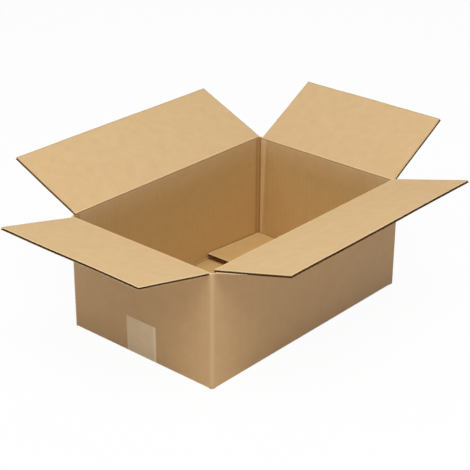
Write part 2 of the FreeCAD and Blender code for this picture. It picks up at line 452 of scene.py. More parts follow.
@dataclass
class Flap:
    """A top flap from its crushed root to its free edge: two liners and the medium between them.

    The flaps warp a little. Closed, the long ones lie on the short ones, so the long ones warp outwards
    and the short ones inwards, and they never press into each other.
    """

    carton: Carton
    side: Side
    seed: float
    rows: int = 14
    liner_columns: int = 8
    medium_columns: int = 16
    edge_waver: float = 0.15 * MM
    warp: float = 0.45 * MM
    recess: float = 0.12 * MM
    lip_width: float = 2.6 * MM
    lip_reach: float = 48.0 * MM
    lip_droop: float = 0.2 * MM
    last_rows: tuple[float, float, float] = (0.978, 0.991, 1.0)
    lip_start: float = 2.5 * MM
    edge_shade_width: float = 1.3 * MM
    core_inset: float = 0.1 * MM
    row_crowding: float = 1.5
    lip_rows: int = 24
    lip_gap: float = 0.02 * MM
    lip_overlap: float = 0.05 * MM

    def rims(self, across: np.ndarray, to_free_edge: np.ndarray) -> tuple[np.ndarray, np.ndarray]:
        """How the paper beside the cut edges is painted with highlight and shade.

        Args:
            across: places along the crease.
            to_free_edge: distance from the flap's free edge.

        Returns:
            How far each point is painted pale as a highlight, and how far it is painted dark as shade. The
            front and left flaps get the painted highlight along their free edges and at the near corner, and
            every other edge gets painted shade for its first millimetre.
        """
        near_corner_side = {"front": -1.0, "left": 1.0}.get(self.side.name, 0.0)
        to_side = self.side.half_span - np.abs(across)
        at_near_corner = across * near_corner_side > 0.0
        to_highlight = np.where(at_near_corner, np.minimum(to_side, to_free_edge), to_free_edge)
        to_shade = np.where(at_near_corner, np.inf, to_side)
        if not near_corner_side:
            to_shade = np.minimum(to_shade, to_free_edge)
        return abs(near_corner_side) * painted_rim_highlight(to_highlight), 1.0 - smooth(to_shade / self.edge_shade_width)

    def place(self, along: np.ndarray, across: np.ndarray, height: np.ndarray) -> np.ndarray:
        """Puts points of the flat flap in place, a little warped between its root and its free edge.

        The warp grows along the flap, and is a raised cosine across it.
        """
        share = (along - self.carton.crushed) / (self.side.reach - self.carton.crushed)
        wave = 0.5 + 0.5 * np.cos(1.3 * np.pi * across / self.side.half_span + self.seed)
        inwards = -1.0 if self.side.is_long else 1.0
        over = inwards * smooth(share * 2.0) * wave
        out, up = self.side.on_flap(along, height + self.warp * over, self.carton.crease_inset)
        return self.side.world(out, across, up)

    def sheets(self) -> list[Sheet]:
        """Outer liner, inner liner and medium."""
        board = self.carton.board
        base = -self.carton.crease_inset
        share = np.linspace(0.0, 1.0, self.rows)[:-1, None] ** self.row_crowding
        share = np.concatenate([share * self.last_rows[0], np.array(self.last_rows)[:, None]])
        across = board.columns(self.side.half_span, self.liner_columns)[None, :]
        at_side = np.abs(across) / self.side.half_span > 0.999
        start = self.carton.crushed
        reach = self.side.reach + self.edge_waver * waver(across, self.seed)
        along = start + share * (reach - start)
        sideways = across + np.sign(across) * at_side * self.edge_waver * waver(along, self.seed + 2.0)
        flat = grid(sideways, self.side.crease + along)
        fade = smooth((along - start) / board.fade)
        # painted highlight and painted shade along the flap's cut edges
        painted_light = self.rims(across, reach - along)
        cut = Paper.CUT if self.side.name == "left" else Paper.FLUTE_END
        outer_face = fade * board.ripple(across, False)
        inner_face = board.thickness - fade * board.ripple(across, True)
        sheets = []
        for face, glued, paper, border in (
            (outer_face, board.liner, Paper.OUTER, cut),
            (inner_face, board.thickness - board.liner, Paper.INNER, Paper.CUT),
        ):
            front = self.place(along, sideways, base + face)
            back = self.place(along, sideways, base + glued)
            sheets.append(Sheet(front, back, flat, (paper, Paper.MEDIUM, border), *painted_light))
        sheets.append(self.medium(share))
        if self.side.name == "front":
            sheets.append(self.lip())
        return sheets

    def medium(self, share: np.ndarray) -> Sheet:
        """The wavy paper, which ends a little short of the liners' free edges."""
        half_span = self.side.half_span - self.core_inset
        across = self.carton.board.columns(half_span, self.medium_columns)[None, :]
        reach = self.side.reach - self.recess * (1.0 + 0.6 * waver(across * 3.0, self.seed + 5.0))
        along = self.carton.crushed + share * (reach - self.carton.crushed)
        middle, aside, above = self.carton.board.wave(across)
        height = middle - self.carton.crease_inset
        front = self.place(along, across + aside, height + above)
        back = self.place(along, across - aside, height - above)
        flat = grid(across, self.side.crease + along)
        return Sheet(front, back, flat, (Paper.MEDIUM, Paper.MEDIUM, Paper.FLUTE_END))

    def lip(self) -> Sheet:
        """A pale lip of the outer liner that the slot's knife left beside the crease, at the near corner."""
        along = np.linspace(self.lip_start, self.lip_reach, self.lip_rows)[:, None]
        share = (along - self.lip_start) / (self.lip_reach - self.lip_start)
        width = self.lip_width * (1.0 - share**1.5) * (1.0 + 0.2 * waver(along * 4.0, self.seed))
        edge = self.side.half_span - self.lip_overlap
        across = -(edge + np.array([[0.0, 0.5, 1.0]]) * (width + 1.2 * self.lip_overlap))
        droop = self.lip_droop * np.array([[0.0, 0.3, 1.0]]) * (1.0 - share)
        low = -self.carton.crease_inset + self.lip_gap - droop
        front = self.place(along, across, low + self.carton.board.liner)
        back = self.place(along, across, low)
        return Sheet(front, back, grid(across, self.side.crease + along), (Paper.CUT, Paper.CUT, Paper.CUT))


@dataclass
class Crease:
    """The scored board between a wall and its top flap."""

    carton: Carton
    side: Side
    columns_per_flute: int = 4
    shoulder: float = 1.9 * MM
    valley: float = 0.12 * MM
    roll: float = 1.0 * MM
    crest: tuple[float, float] = (-0.4 * MM, 0.9 * MM)
    groove_drop: float = 0.4 * MM
    groove_depth: float = 0.45 * MM
    groove_width: float = 0.5 * MM
    hinge_reach: float = 1.2 * MM
    liner_share: float = 0.15
    core_inset: float = 0.5 * MM
    rows_on_wall: int = 13

    def flap_point(self, along: float, height: float) -> np.ndarray:
        """A point of the flap's section, as out and up from the turning line."""
        tilt = math.radians(self.side.angle)
        return np.array([
            along * math.cos(tilt) - height * math.sin(tilt),
            along * math.sin(tilt) + height * math.cos(tilt),
        ])

    def sections(self) -> tuple[np.ndarray, np.ndarray, np.ndarray, np.ndarray]:
        """The outer and inner lines of the board's section, from the wall over the crease to the flap.

        Returns:
            Outer points, inner points, and for each row how far it is painted pale as a highlight and how far
            it is painted dark as shade. The inner faces of wall and flap meet in a small roll, whose crest
            gets the painted highlight, and the scored line is a bell-shaped groove in the wall just below it,
            which gets the painted shade.
        """
        inset = self.carton.crease_inset
        depth = self.carton.board.thickness - inset
        crushed = self.carton.crushed
        tilt = math.radians(self.side.angle)
        low = np.array([inset, -self.shoulder])
        high = self.flap_point(self.shoulder, -inset)
        outer = chain(
            line((inset, -crushed), low, 9),
            bend(low, np.array([self.valley, -self.valley]), high, 15),
            line(high, self.flap_point(crushed, -inset), 9),
        )
        meeting = self.flap_point((depth * math.sin(tilt) - depth) / math.cos(tilt), depth)
        low = meeting - np.array([0.0, self.roll])
        high = meeting + self.roll * np.array([math.cos(tilt), math.sin(tilt)])
        middle = low - np.array([0.0, 3.0 * self.groove_drop])
        inner = chain(
            line((-depth, -crushed), middle, 4),
            line(middle, low, 10),
            bend(low, meeting + np.array(self.crest), high, 9),
            line(high, self.flap_point(crushed, depth), 11),
        )
        # the groove's pull also gives the painted shade in it
        below = low[1] - self.groove_drop - inner[:, 1]
        pull = np.exp(-((below / self.groove_width) ** 2)) * (np.arange(len(inner)) < self.rows_on_wall)
        inner[:, 0] += self.groove_depth * pull
        # painted highlight on the crest of the inner roll
        painted_highlight_mask = np.exp(-((np.linalg.norm(inner - meeting, axis=1) / self.roll) ** 2))
        return outer, inner, painted_highlight_mask, pull

    def layer(self, near: np.ndarray, far: np.ndarray, across: np.ndarray, papers: tuple) -> Sheet:
        """One layer of the strip, between two lines of its section.

        Args:
            near: the line on the outer side, as out and up from the turning line.
            far: the line on the inner side, with as many points.
            across: places along the crease.
            papers: what the two faces and the border show.

        Returns:
            The sheet.
        """
        line_out = self.side.distance - self.carton.crease_inset
        front, back = (
            self.side.world(line_out + section[:, :1], across, self.side.crease + section[:, 1:])
            for section in (near, far)
        )
        flat = grid(across, self.side.crease - self.carton.crushed + run_along(far))
        return Sheet(front, back, flat, papers)

    def sheets(self) -> list[Sheet]:
        """The strip's two liners, and the crushed medium between them, a little short at the slots."""
        outer, inner, painted_highlight_mask, shaded = self.sections()
        across = self.carton.board.columns(self.side.half_span, self.columns_per_flute)[None, :]
        short = across * (1.0 - self.core_inset / self.side.half_span)
        outer_back = outer + self.liner_share * (inner - outer)
        inner_back = inner + self.liner_share * (outer - inner)
        faced = self.layer(outer, outer_back, across, (Paper.OUTER, Paper.MEDIUM, Paper.CUT))
        core = self.layer(outer_back, inner_back, short, (Paper.MEDIUM, Paper.MEDIUM, Paper.MEDIUM))
        lined = self.layer(inner_back, inner, across, (Paper.MEDIUM, Paper.INNER, Paper.CUT))
        _, shade = self.carton.upright_score(self.side, across)
        below = (np.arange(len(inner)) < self.rows_on_wall)[:, None]
        lit = self.carton.lit_lip(self.side, across, self.side.crease)
        # painted highlight on the crest and on the short walls' lit band below it; painted shade in the
        # groove and towards the long walls' corners
        lined.painted_highlight = np.maximum(painted_highlight_mask[:, None], below * lit)
        lined.painted_shade = np.maximum(shaded[:, None], below * shade)
        return [faced, core, lined]

    def ends(self) -> tuple[Vector, Vector]:
        """Where the bending starts on the wall and where it ends on the flap."""
        line_out = self.side.distance - self.carton.crease_inset
        start = self.side.world(line_out, 0.0, self.side.crease - self.hinge_reach)
        far = self.flap_point(self.hinge_reach, 0.0)
        end = self.side.world(line_out + far[0], 0.0, self.side.crease + far[1])
        return Vector(start), Vector(end)


@dataclass
class Body:
    """The carton's fixed board: walls, upright folds, bottom flaps and the glued tab."""

    carton: Carton
    wall_columns: int = 5
    wall_rows: int = 20
    seam: float = 2.0 * MM
    bead_width: float = 1.7 * MM
    bead_height: float = 2.6 * MM
    bead_pull: float = 0.6
    foot_gap: float = 0.8 * MM
    rim_gap: float = 1.0 * MM
    ply_gap: float = 0.3 * MM
    flap_inset: float = 3.5 * MM
    short_flap: float = 114.5 * MM
    flap_rise: float = 3.5
    flap_lift: float = 0.5 * MM
    flap_waver: float = 0.12 * MM
    flap_rows: tuple[float, ...] = (0.0, 0.14, 0.28, 0.42, 0.56, 0.7, 0.84, 0.98, 0.991, 1.0)
    liner_columns: int = 6
    medium_columns: int = 12
    core_inset: float = 0.1 * MM
    core_short: float = 0.15 * MM
    core_waver: float = 0.1 * MM
    hook_inset: float = 1.2 * MM
    hook_heights: tuple[float, float, float] = (1.4 * MM, 1.0 * MM, 3.0 * MM)
    fold_inside: float = 1.0 * MM
    fold_bead: float = 0.9 * MM
    fold_shade: float = 0.9
    fold_middle: tuple[float, float] = (0.5, 0.6)
    fold_fades: tuple[float, float] = (0.15, 0.2)
    foot_height: float = 1.2 * MM
    foot_width: float = 1.1 * MM
    bottom_fold_painted_light: float = 0.5
    tab_width: float = 32.0 * MM
    tab_bevel: float = 9.0 * MM
    tab_below_rim: float = 9.0 * MM
    tab_above_floor: float = 16.0 * MM
    lap_core_short: float = 0.2 * MM
    lap_fold: float = 8.0 * MM
    lap_thin: float = 0.01 * MM

    def wall(self, side: Side, outer: np.ndarray, inner: np.ndarray) -> Sheet:
        """A wall with its bottom fold, from the section's two lines.

        Args:
            side: the wall.
            outer: the section's outer line as out and up, from the bottom to the top.
            inner: its inner line, with as many points.

        Returns:
            The sheet. The wall bows outwards by a half wave each way, its liners ripple over the
            flutes, and the inner face has a channel beside each fold.
        """
        board = self.carton.board
        across = board.columns(side.half_span, self.wall_columns)[None, :]
        height = outer[:, 1:]
        on_wall = inner[:, :1] > side.distance - board.thickness - 1e-6
        calm = self.carton.calm(side, height)
        bow = self.carton.bulge(side, across, height)
        channel, shade = self.carton.upright_score(side, across)
        # painted light: the floor's light on the outer bottom fold
        painted_light = self.bottom_fold_painted_light * (height < self.carton.underside + self.carton.bottom_radius)
        # painted highlight band beside the short walls' upright folds
        lit = on_wall * self.carton.lit_lip(side, across, height)
        # painted shade along the foot, where the inner wall meets the bottom flaps
        above_foot = inner[:, 1:] - self.carton.underside - board.thickness - self.foot_height
        near_wall = inner[:, :1] > side.distance - 3.0 * board.thickness
        foot = np.exp(-((above_foot / self.foot_width) ** 2)) * near_wall
        run = run_along(outer)
        flat = grid(across, run - run[-1] + side.crease - self.carton.crushed)
        out = outer[:, :1] + bow - calm * board.ripple(across, False)
        front = side.world(out, across, height)
        out = inner[:, :1] + bow + calm * board.ripple(across, True) + on_wall * channel
        back = side.world(out, across, inner[:, 1:])
        pale = np.stack(np.broadcast_arrays(painted_light, lit))
        shaded = np.stack(np.broadcast_arrays(0.0, np.maximum(on_wall * shade, foot)))
        return Sheet(front, back, flat, (Paper.OUTER, Paper.INNER, Paper.CUT), pale, shaded)

    def risen(self, side: Side) -> np.ndarray:
        """The outer line of a bottom fold, a quarter circle, and of the wall above it."""
        wall, r, low = side.distance, self.carton.bottom_radius, self.carton.underside
        top = side.crease - self.carton.crushed
        fold = arc((wall - r, low + r), r, -90.0, 0.0, 9)
        return chain(fold, line((wall, low + r), (wall, top), self.wall_rows))

    def long_wall(self, side: Side) -> Sheet:
        """A long wall, its bottom fold with the squeezed bead inside, and its bottom flap."""
        low = self.carton.underside
        floor = low + self.carton.board.thickness
        face = side.distance - self.carton.board.thickness
        free = self.seam / 2.0
        fold_start = (side.distance - self.carton.bottom_radius, low)
        outer = chain(line((free, low), fold_start, 8), self.risen(side))
        start = (face - self.bead_width, floor)
        pull = (face - self.bead_pull * self.bead_width, floor + self.bead_pull * self.bead_height)
        end = (face, floor + self.bead_height)
        inner = chain(
            line((free, floor), start, 8),
            bend(start, pull, end, 9),
            line(end, (face, side.crease - self.carton.crushed), self.wall_rows),
        )
        return self.wall(side, outer, inner)

    def ramp(self, side: Side) -> tuple[np.ndarray, np.ndarray, np.ndarray]:
        """Where a short bottom flap's straight run starts, its direction, and the way to its upper face."""
        rise = math.radians(self.flap_rise)
        direction = np.array([-math.cos(rise), math.sin(rise)])
        out = side.distance - self.carton.board.thickness - self.flap_inset
        up = self.carton.underside + self.carton.board.thickness + self.ply_gap
        start = np.array([out, up]) + self.carton.crushed * direction
        return start, direction, np.array([direction[1], -direction[0]])

    def short_wall(self, side: Side) -> Sheet:
        """A short wall and its bottom fold, up to where its bottom flap is flat."""
        board = self.carton.board.thickness
        floor = self.carton.underside + board
        face = side.distance - board
        end, direction, normal = self.ramp(side)
        start = end - self.carton.crushed * direction
        fold_start = (side.distance - self.carton.bottom_radius, self.carton.underside)
        outer = chain(bend(end, start, fold_start, 14), self.risen(side))
        first, pull, last = (floor + height for height in self.hook_heights)
        hook = (face - self.hook_inset, first)
        inner = chain(
            bend(end + board * normal, start + board * normal, hook, 14),
            bend(hook, (face, pull), (face, last), 9),
            line((face, last), (face, side.crease - self.carton.crushed), self.wall_rows),
        )
        return self.wall(side, outer, inner)

    def bottom_flap(self, side: Side, seed: float) -> list[Sheet]:
        """The flat run of a short bottom flap: liners and medium, sprung up from the floor."""
        board = self.carton.board
        start, direction, normal = self.ramp(side)
        reach = (side.distance - self.short_flap - start[0]) / direction[0]
        share = np.array(self.flap_rows)[:, None]

        def place(along: np.ndarray, across: np.ndarray, height: np.ndarray) -> np.ndarray:
            """Puts points of the flat flap in place, with a slight lift of one end of its free edge."""
            lift = self.flap_lift * (along / reach) ** 2 * np.sin(2.0 * across / side.half_span + seed)
            out = start[0] + along * direction[0] + (height + lift) * normal[0]
            up = start[1] + along * direction[1] + (height + lift) * normal[1]
            return side.world(out, across, up)

        across = board.columns(side.half_span, self.liner_columns)[None, :]
        along = share * (reach + self.flap_waver * waver(across, seed))
        flat = grid(across, -along)
        fade = smooth(along / board.fade)
        bottom = place(along, across, fade * board.ripple(across, False))
        top = place(along, across, board.thickness - fade * board.ripple(across, True))
        bottom_glued = place(along, across, board.liner)
        top_glued = place(along, across, board.thickness - board.liner)
        # painted highlight along the top liner's side and free edges
        pale = painted_rim_highlight(np.minimum(side.half_span - np.abs(across), reach - share * reach))
        sheets = [
            Sheet(bottom, bottom_glued, flat, (Paper.OUTER, Paper.MEDIUM, Paper.FLUTE_END)),
            Sheet(top, top_glued, flat, (Paper.INNER, Paper.MEDIUM, Paper.CUT), pale),
        ]
        across = board.columns(side.half_span - self.core_inset, self.medium_columns)[None, :]
        along = share * (reach - self.core_short + self.core_waver * waver(across * 3.0, seed))
        middle, aside, above = board.wave(across)
        front = place(along, across + aside, middle + above)
        back = place(along, across - aside, middle - above)
        papers = (Paper.MEDIUM, Paper.MEDIUM, Paper.FLUTE_END)
        return [*sheets, Sheet(front, back, grid(across, -along), papers)]

    def slot_to_slot(self) -> np.ndarray:
        """Heights on an upright fold, from its bottom slot to its top one."""
        low = self.carton.underside + self.foot_gap
        high = self.carton.sides["front"].crease - self.rim_gap
        return np.linspace(low, high, self.wall_rows)[None, :]

    def fold(self, sign_x: float, sign_y: float) -> list[Sheet]:
        """An upright fold between a long and a short wall, from slot to slot.

        The outer line is a quarter circle between two short straights. The inner one has a small bead,
        squeezed up by the fold, which stands out along the corner's diagonal by a raised cosine.
        """
        carton = self.carton
        r, tight = carton.corner_radius, self.fold_inside
        x, y = carton.half_length, carton.half_width
        long_edge, short_edge = carton.sides["front"].half_span, carton.sides["left"].half_span
        outer = chain(
            line((long_edge, y), (x - r, y), 3),
            arc((x - r, y - r), r, 90.0, 0.0, 13),
            line((x, y - r), (x, short_edge), 3),
        )
        in_x, in_y = x - carton.board.thickness, y - carton.board.thickness
        inner = chain(
            line((long_edge, in_y), (in_x - tight, in_y), 3),
            arc((in_x - tight, in_y - tight), tight, 90.0, 0.0, 13),
            line((in_x, in_y - tight), (in_x, short_edge), 3),
        )
        share = np.linspace(0.0, 1.0, len(inner))[:, None]
        inner = inner - self.fold_bead * 0.5 * (1.0 - np.cos(2.0 * np.pi * share)) / math.sqrt(2.0)
        up = self.slot_to_slot()
        outside, between, inside = (
            grid(sign_x * section[:, :1], sign_y * section[:, 1:], up)
            for section in (outer, 0.5 * (outer + inner), inner)
        )
        flat = grid(x + run_along(outer), up)
        # painted highlight on the round of the outer fold; on the inner face, painted highlight on the short
        # wall's side and painted shade on the long wall's side
        painted_light = np.sin(np.pi * share)
        shaded, painted_highlight_mask = (
            smooth((share - start) / fade) for start, fade in zip(self.fold_middle, self.fold_fades)
        )
        shaded = self.fold_shade * (1.0 - shaded)
        return [
            Sheet(outside, between, flat, (Paper.OUTER, Paper.MEDIUM, Paper.CUT), painted_light),
            Sheet(between, inside, flat, (Paper.MEDIUM, Paper.INNER, Paper.CUT), painted_highlight_mask, shaded),
        ]

    def lap(self) -> list[Sheet]:
        """The corner where the sheet's ends are glued: the front wall's cut end and the fold behind it."""
        carton = self.carton
        board, liner = carton.board.thickness, carton.board.liner
        x, y = carton.half_length, carton.half_width
        long_edge, short_edge = carton.sides["front"].half_span, carton.sides["right"].half_span
        up = self.slot_to_slot()
        across = np.linspace(long_edge, x, 5)[:, None]
        wavy = np.linspace(long_edge, x - self.lap_core_short, 15)[:, None]
        middle, half = -y + carton.board.wave(wavy)[0], 0.5 * carton.board.medium
        papers = (Paper.OUTER, Paper.MEDIUM, Paper.MEDIUM, Paper.INNER)
        plies = (
            (across, -y, -y + liner, papers[:2]),
            (across, -y + board - liner, -y + board, papers[2:]),
            (wavy, middle - half, middle + half, papers[1:3]),
        )
        sheets = [
            Sheet(grid(along, near, up), grid(along, far, up), grid(along, up), (*faces, Paper.CUT))
            for along, near, far, faces in plies
        ]
        r = y - board - short_edge
        in_x, in_y = x - board, -y + board
        outer = chain(arc((x - r, -short_edge), r, 0.0, -90.0, 9), line((x - r, in_y), (in_x, in_y), 4))
        inner = chain(
            line((in_x, -short_edge), (in_x, in_y + board), 9),
            line((in_x, in_y + board), (in_x - self.lap_thin, in_y + self.lap_thin), 4),
        )
        front, back = (grid(section[:, :1], section[:, 1:], up) for section in (outer, inner))
        flat = grid(np.linspace(x, x + self.lap_fold, len(outer))[:, None], up)
        sheets.append(Sheet(front, back, flat, (Paper.OUTER, Paper.INNER, Paper.CUT)))
        return sheets

    def tab(self) -> Sheet:
        """The glued tab inside the front wall, with its slanting ends."""
        board = self.carton.board
        root = self.carton.half_length - board.thickness
        x = np.linspace(root - self.tab_width, root, 25)[:, None]
        slant = (root - x) / self.tab_width * self.tab_bevel
        low = self.tab_above_floor + slant
        high = self.carton.sides["right"].crease - self.tab_below_rim - slant
        up = low + np.linspace(0.0, 1.0, 8)[None, :] * (high - low)
        outer_face = -self.carton.half_width + board.thickness
        inner_face = outer_face + board.thickness - board.ripple(x, True)
        front, back = grid(x, inner_face, up), grid(x, outer_face, up)
        return Sheet(front, back, grid(x, up), (Paper.INNER, Paper.OUTER, Paper.CUT))

    def sheets(self) -> list[Sheet]:
        """Every fixed sheet of the carton."""
        sides = self.carton.sides
        sheets = [self.long_wall(sides["front"]), self.long_wall(sides["back"])]
        sheets += [self.short_wall(sides["left"]), self.short_wall(sides["right"])]
        sheets += self.bottom_flap(sides["left"], 0.4)
        sheets += self.bottom_flap(sides["right"], 1.7)
        sheets += self.fold(-1.0, -1.0) + self.fold(-1.0, 1.0) + self.fold(1.0, 1.0)
        sheets += self.lap()
        sheets.append(self.tab())
        return sheets


@dataclass
class Tape:
    """The film along the bottom seam, turned up both short walls."""

    carton: Carton
    columns: int = 49
    seam: float = 1.2 * MM
    border: float = 1.1 * MM
    inner_gap: float = 0.02 * MM

    def sheet(self) -> Sheet:
        """The film's section is a U of straights and quarter circles, carried across its width."""
        low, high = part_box("bottom_tape")
        r, x, floor = self.carton.bottom_radius, self.carton.half_length, self.carton.underside
        across = np.linspace(low.y, high.y, self.columns)[None, :]
        sections, faces = [], []
        for gap in (floor - low.z, self.inner_gap):
            section = chain(
                line((-x - gap, high.z), (-x - gap, floor + r), 12),
                arc((-x + r, floor + r), r + gap, 180.0, 270.0, 7),
                line((-x + r, floor - gap), (x - r, floor - gap), 30),
                arc((x - r, floor + r), r + gap, 270.0, 360.0, 7),
                line((x + gap, floor + r), (x + gap, high.z), 12),
            )
            out, up = section[:, :1], section[:, 1:]
            bulge = self.carton.bulge(self.carton.sides["left"], across, up)
            faces.append(grid(out + np.sign(out) * bulge, across, up))
            sections.append(section)
        flat = grid(across, np.linspace(0.0, 2.0 * x, len(sections[0]))[:, None])
        # painted shade along the seam between the bottom flaps, and a painted highlight along the film's long
        # edges
        seam = (sections[0][:, 1:] < floor) * (np.abs(across) < self.seam)
        border = 1.0 - smooth((high.y - np.abs(across)) / self.border)
        return Sheet(faces[0], faces[1], flat, (Paper.OUTER, Paper.OUTER, Paper.OUTER), border, seam)


# Materials


def linear(colour: str) -> tuple[float, float, float, float]:
    """Turns an sRGB colour written as six hex digits into the linear values that shaders take."""
    parts = [int(colour[i : i + 2], 16) / 255.0 for i in (0, 2, 4)]
    values = [c / 12.92 if c <= 0.04045 else ((c + 0.055) / 1.055) ** 2.4 for c in parts]
    return (*values, 1.0)


def add_node(
    tree: bpy.types.NodeTree, kind: str, inputs: dict | None = None, **settings: object
) -> bpy.types.Node:
    """Adds a shader node.

    Args:
        tree: the material's or world's node tree.
        kind: the node's type name.
        inputs: a value or an output socket for each input, by its name or number.
        settings: the node's own properties.

    Returns:
        The new node.
    """
    node = tree.nodes.new(kind)
    for name, value in settings.items():
        setattr(node, name, value)
    for key, value in (inputs or {}).items():
        if isinstance(value, bpy.types.NodeSocket):
            tree.links.new(value, node.inputs[key])
        else:
            node.inputs[key].default_value = value
    return node


def new_material(name: str) -> tuple[bpy.types.Material, bpy.types.NodeTree]:
    """An empty node material."""
    material = bpy.data.materials.new(name)
    material.use_nodes = True
    material.node_tree.nodes.clear()
    return material, material.node_tree


def seen_directly(tree: bpy.types.NodeTree) -> bpy.types.NodeSocket:
    """Gives 1 for what the camera, a mirror or glass shows, and 0 for light that bounces on."""
    path = add_node(tree, "ShaderNodeLightPath")
    seen = path.outputs["Is Camera Ray"]
    for ray in ("Is Glossy Ray", "Is Transmission Ray"):
        either = add_node(tree, "ShaderNodeMath", {0: seen, 1: path.outputs[ray]}, operation="MAXIMUM")
        seen = either.outputs[0]
    return seen
@dataclass(frozen=True)
class KraftPaper:
    """Kraft paper, wire-formed from long wood fibres and pressed.

    The eye gets a warm brown with cloudy formation, faint fibres across the flutes, and lines along
    the flutes where the glue shows through. Fibres are 0.03 mm wide in truth, so they are drawn some
    twenty times coarser, because the true ones would vanish in a picture.
    """

    name: str
    colour: str
    cloud: str
    fibre: str
    # colour of the painted highlight
    painted_light_tone: str
    roughness: float
    specular: float
    cloud_size: float = 14.0 * MM
    fibre_width: float = 0.7 * MM
    fibre_stretch: float = 7.0
    # colour of the painted shade in creases, score channels, corners and at the walls' foot
    fold: str = "8A6331"
    painted_highlight_strength: float = 0.6
    painted_shade_strength: float = 0.6
    # painted shade: the paper grows darker and warmer from the rim down over the deepening
    painted_depth_shade: str = "FFFFFF"
    rim: float = 147.0 * MM
    deepening: float = 30.0 * MM
    stripe: float = 0.008
    stripe_inside: float = 0.0
    tooth: float = 0.04 * MM

    def build(self, pitch: float) -> bpy.types.Material:
        """Makes the material.

        Args:
            pitch: the flutes' pitch in metres.

        Returns:
            The new material.
        """
        material, tree = new_material(self.name)
        place = add_node(tree, "ShaderNodeTexCoord").outputs["Object"]
        flat = add_node(tree, "ShaderNodeUVMap", uv_map="flat_board").outputs["UV"]
        clouds = add_node(
            tree, "ShaderNodeTexNoise",
            {"Vector": place, "Scale": 1.0 / self.cloud_size, "Detail": 4.0, "Roughness": 0.55},
        )
        cloudy = add_node(tree, "ShaderNodeMapRange", {"Value": clouds.outputs["Fac"], 1: 0.3, 2: 0.7})
        stretched = add_node(
            tree, "ShaderNodeMapping", {"Vector": flat, "Scale": (1.0 / self.fibre_stretch, 1.0, 1.0)},
        )
        fibres = add_node(
            tree, "ShaderNodeTexNoise",
            {"Vector": stretched.outputs["Vector"], "Scale": 1.0 / self.fibre_width, "Detail": 2.0},
        )
        strands = add_node(
            tree, "ShaderNodeMapRange", {"Value": fibres.outputs["Fac"], 1: 0.5, 2: 0.8, 4: 0.35},
        )
        wave = add_node(
            tree, "ShaderNodeTexWave",
            {"Vector": flat, "Scale": 0.05 / pitch * 2.0 * math.pi, "Distortion": 0.0},
            wave_type="BANDS", bands_direction="X",
        )
        height = add_node(tree, "ShaderNodeSeparateXYZ", {"Vector": place})
        # how far below the rim, which drives the painted shade deeper inside
        below = add_node(
            tree, "ShaderNodeMapRange",
            {"Value": height.outputs["Z"], 1: self.rim, 2: self.rim - self.deepening, 3: 0.0, 4: 1.0},
        )
        glued = add_node(
            tree, "ShaderNodeMath",
            {0: below.outputs["Result"], 1: self.stripe_inside, 2: self.stripe}, operation="MULTIPLY_ADD",
        )
        # painted highlight, from the mesh's attribute
        painted_highlight = add_node(tree, "ShaderNodeAttribute", attribute_name="painted_highlight").outputs["Fac"]
        painted_highlight_mask = add_node(tree, "ShaderNodeMath", {0: painted_highlight, 1: self.painted_highlight_strength}, operation="MULTIPLY")
        # painted shade, from the mesh's attribute
        painted_shade = add_node(tree, "ShaderNodeAttribute", attribute_name="painted_shade").outputs["Fac"]
        painted_shade_mask = add_node(tree, "ShaderNodeMath", {0: painted_shade, 1: self.painted_shade_strength}, operation="MULTIPLY")
        colour = linear(self.colour)
        for share, coat, blend in (
            (cloudy.outputs["Result"], linear(self.cloud), "MIX"),
            (strands.outputs["Result"], linear(self.fibre), "MIX"),
            (glued.outputs[0], wave.outputs["Color"], "SOFT_LIGHT"),
            (painted_highlight_mask.outputs[0], linear(self.painted_light_tone), "MIX"),
            (painted_shade_mask.outputs[0], linear(self.fold), "MIX"),
            (below.outputs["Result"], linear(self.painted_depth_shade), "MULTIPLY"),
        ):
            inputs = {"Factor": share, 6: colour, 7: coat}
            colour = add_node(tree, "ShaderNodeMix", inputs, data_type="RGBA", blend_type=blend).outputs[2]
        tooth = add_node(
            tree, "ShaderNodeBump",
            {"Height": fibres.outputs["Fac"], "Strength": 0.35, "Distance": self.tooth},
        )
        shader = add_node(
            tree, "ShaderNodeBsdfPrincipled",
            {
                "Base Color": colour,
                "Roughness": self.roughness,
                "Specular IOR Level": self.specular,
                "Normal": tooth.outputs["Normal"],
            },
        )
        add_node(tree, "ShaderNodeOutputMaterial", {"Surface": shader.outputs["BSDF"]})
        return material


